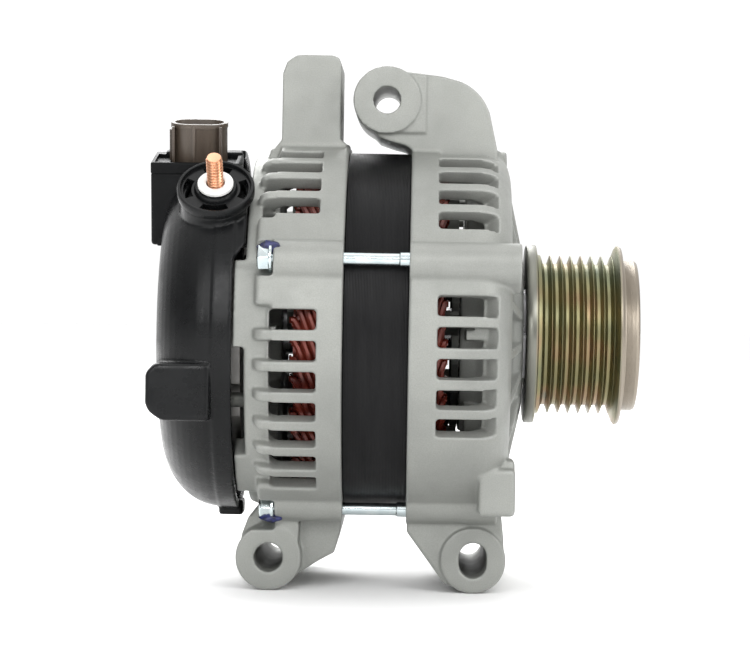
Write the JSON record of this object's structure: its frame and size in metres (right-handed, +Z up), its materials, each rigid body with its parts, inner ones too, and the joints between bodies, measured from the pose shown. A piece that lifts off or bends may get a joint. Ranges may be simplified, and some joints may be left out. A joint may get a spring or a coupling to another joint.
{
  "type": "car alternator",
  "caption": "Car alternator with ribbed cast casings, a grooved overrunning pulley, a moulded rear cover, three mounting lugs and a threaded output stud.",
  "frame": {"origin": "centre of the shaft's drive-end face, on the shaft axis", "axes": "+X along the shaft out of the pulley, +Z up to the ear, -Y to the side that the lugs' near faces look to"},
  "size_m": [0.1675, 0.1342, 0.1835],
  "materials": {
    "cast_aluminium": "die-cast, blasted, matte",
    "laminated_steel": "black painted laminations",
    "enamelled_copper": "dark red enamelled copper",
    "zinc_steel": "bright zinc plating",
    "bearing_steel": "ground steel",
    "rotor_iron": "forged, lightly oiled",
    "yellow_zinc_steel": "turned, iridescent yellow zinc",
    "plate_aluminium": "stamped plate",
    "copper_plate": "copper plated",
    "black_plastic": "moulded, semi-gloss",
    "brown_plastic": "moulded, satin",
    "white_plastic": "matte",
    "carbon": "pressed carbon"
  },
  "bodies": {
    "root": {"drive_end_bracket": "cast_aluminium", "rear_bracket": "cast_aluminium", "stator_core": "laminated_steel", "stator_winding": "enamelled_copper", "through_bolt_1": "zinc_steel", "through_bolt_2": "zinc_steel", "through_bolt_3": "zinc_steel", "through_bolt_4": "zinc_steel", "front_bearing_outer_race": "bearing_steel", "rear_bearing_outer_race": "bearing_steel", "rear_bearing_sleeve": "brown_plastic", "bearing_retainer_plate": "zinc_steel", "retainer_screw_1": "zinc_steel", "retainer_screw_2": "zinc_steel", "retainer_screw_3": "zinc_steel", "rectifier_negative_plate": "plate_aluminium", "rectifier_positive_plate": "plate_aluminium", "rectifier_terminal_block": "black_plastic", "diode_negative_1": "zinc_steel", "diode_negative_2": "zinc_steel", "diode_negative_3": "zinc_steel", "diode_positive_1": "zinc_steel", "diode_positive_2": "zinc_steel", "diode_positive_3": "zinc_steel", "brush_holder": "black_plastic", "brush_spring_1": "zinc_steel", "brush_spring_2": "zinc_steel", "voltage_regulator": "black_plastic", "connector_shell": "brown_plastic", "connector_blade_1": "copper_plate", "connector_blade_2": "copper_plate", "connector_blade_3": "copper_plate", "terminal_collar": "black_plastic", "terminal_stud": "copper_plate", "terminal_washer": "white_plastic", "rear_cover": "black_plastic", "cover_screw_1": "zinc_steel", "cover_screw_2": "zinc_steel", "cover_screw_3": "zinc_steel"},
    "rotor": {"rotor_shaft": "bearing_steel", "front_claw_pole": "rotor_iron", "rear_claw_pole": "rotor_iron", "field_coil": "enamelled_copper", "front_fan": "zinc_steel", "rear_fan": "zinc_steel", "slip_ring_sleeve": "black_plastic", "slip_ring_1": "copper_plate", "slip_ring_2": "copper_plate", "front_bearing_inner_race": "bearing_steel", "rear_bearing_inner_race": "bearing_steel", "shaft_spacer": "bearing_steel", "pulley_hub": "bearing_steel", "clutch_cage": "bearing_steel", "pulley_seal_rear": "black_plastic", "pulley_seal_front": "black_plastic"},
    "pulley": {"pulley_ring": "yellow_zinc_steel"},
    "front_balls": {"front_bearing_balls_and_cage": "bearing_steel"},
    "rear_balls": {"rear_bearing_balls_and_cage": "bearing_steel"},
    "brush_1": {"brush_1": "carbon"},
    "brush_2": {"brush_2": "carbon"}
  },
  "joints": [
    {"name": "rotor_spin", "type": "hinge", "parent": "root", "child": "rotor", "pos_m": [0, 0, 0], "axis": [1, 0, 0], "continuous": true},
    {"name": "pulley_overrun", "type": "hinge", "parent": "rotor", "child": "pulley", "pos_m": [0, 0, 0], "axis": [1, 0, 0], "continuous": true},
    {"name": "front_balls_spin", "type": "hinge", "parent": "root", "child": "front_balls", "pos_m": [0, 0, 0], "axis": [1, 0, 0], "continuous": true},
    {"name": "rear_balls_spin", "type": "hinge", "parent": "root", "child": "rear_balls", "pos_m": [0, 0, 0], "axis": [1, 0, 0], "continuous": true},
    {"name": "brush_1_slide", "type": "slide", "parent": "root", "child": "brush_1", "axis": [0, 0, 1], "range_m": [0, 0.005], "stiffness_N_per_m": 200, "springref_m": -0.01, "deforming": ["brush_spring_1"]},
    {"name": "brush_2_slide", "type": "slide", "parent": "root", "child": "brush_2", "axis": [0, 0, 1], "range_m": [0, 0.005], "stiffness_N_per_m": 200, "springref_m": -0.01, "deforming": ["brush_spring_2"]}
  ],
  "couplings": [
    {"joint": "front_balls_spin", "follows": "rotor_spin", "ratio": 0.3975},
    {"joint": "rear_balls_spin", "follows": "rotor_spin", "ratio": 0.407}
  ]
}
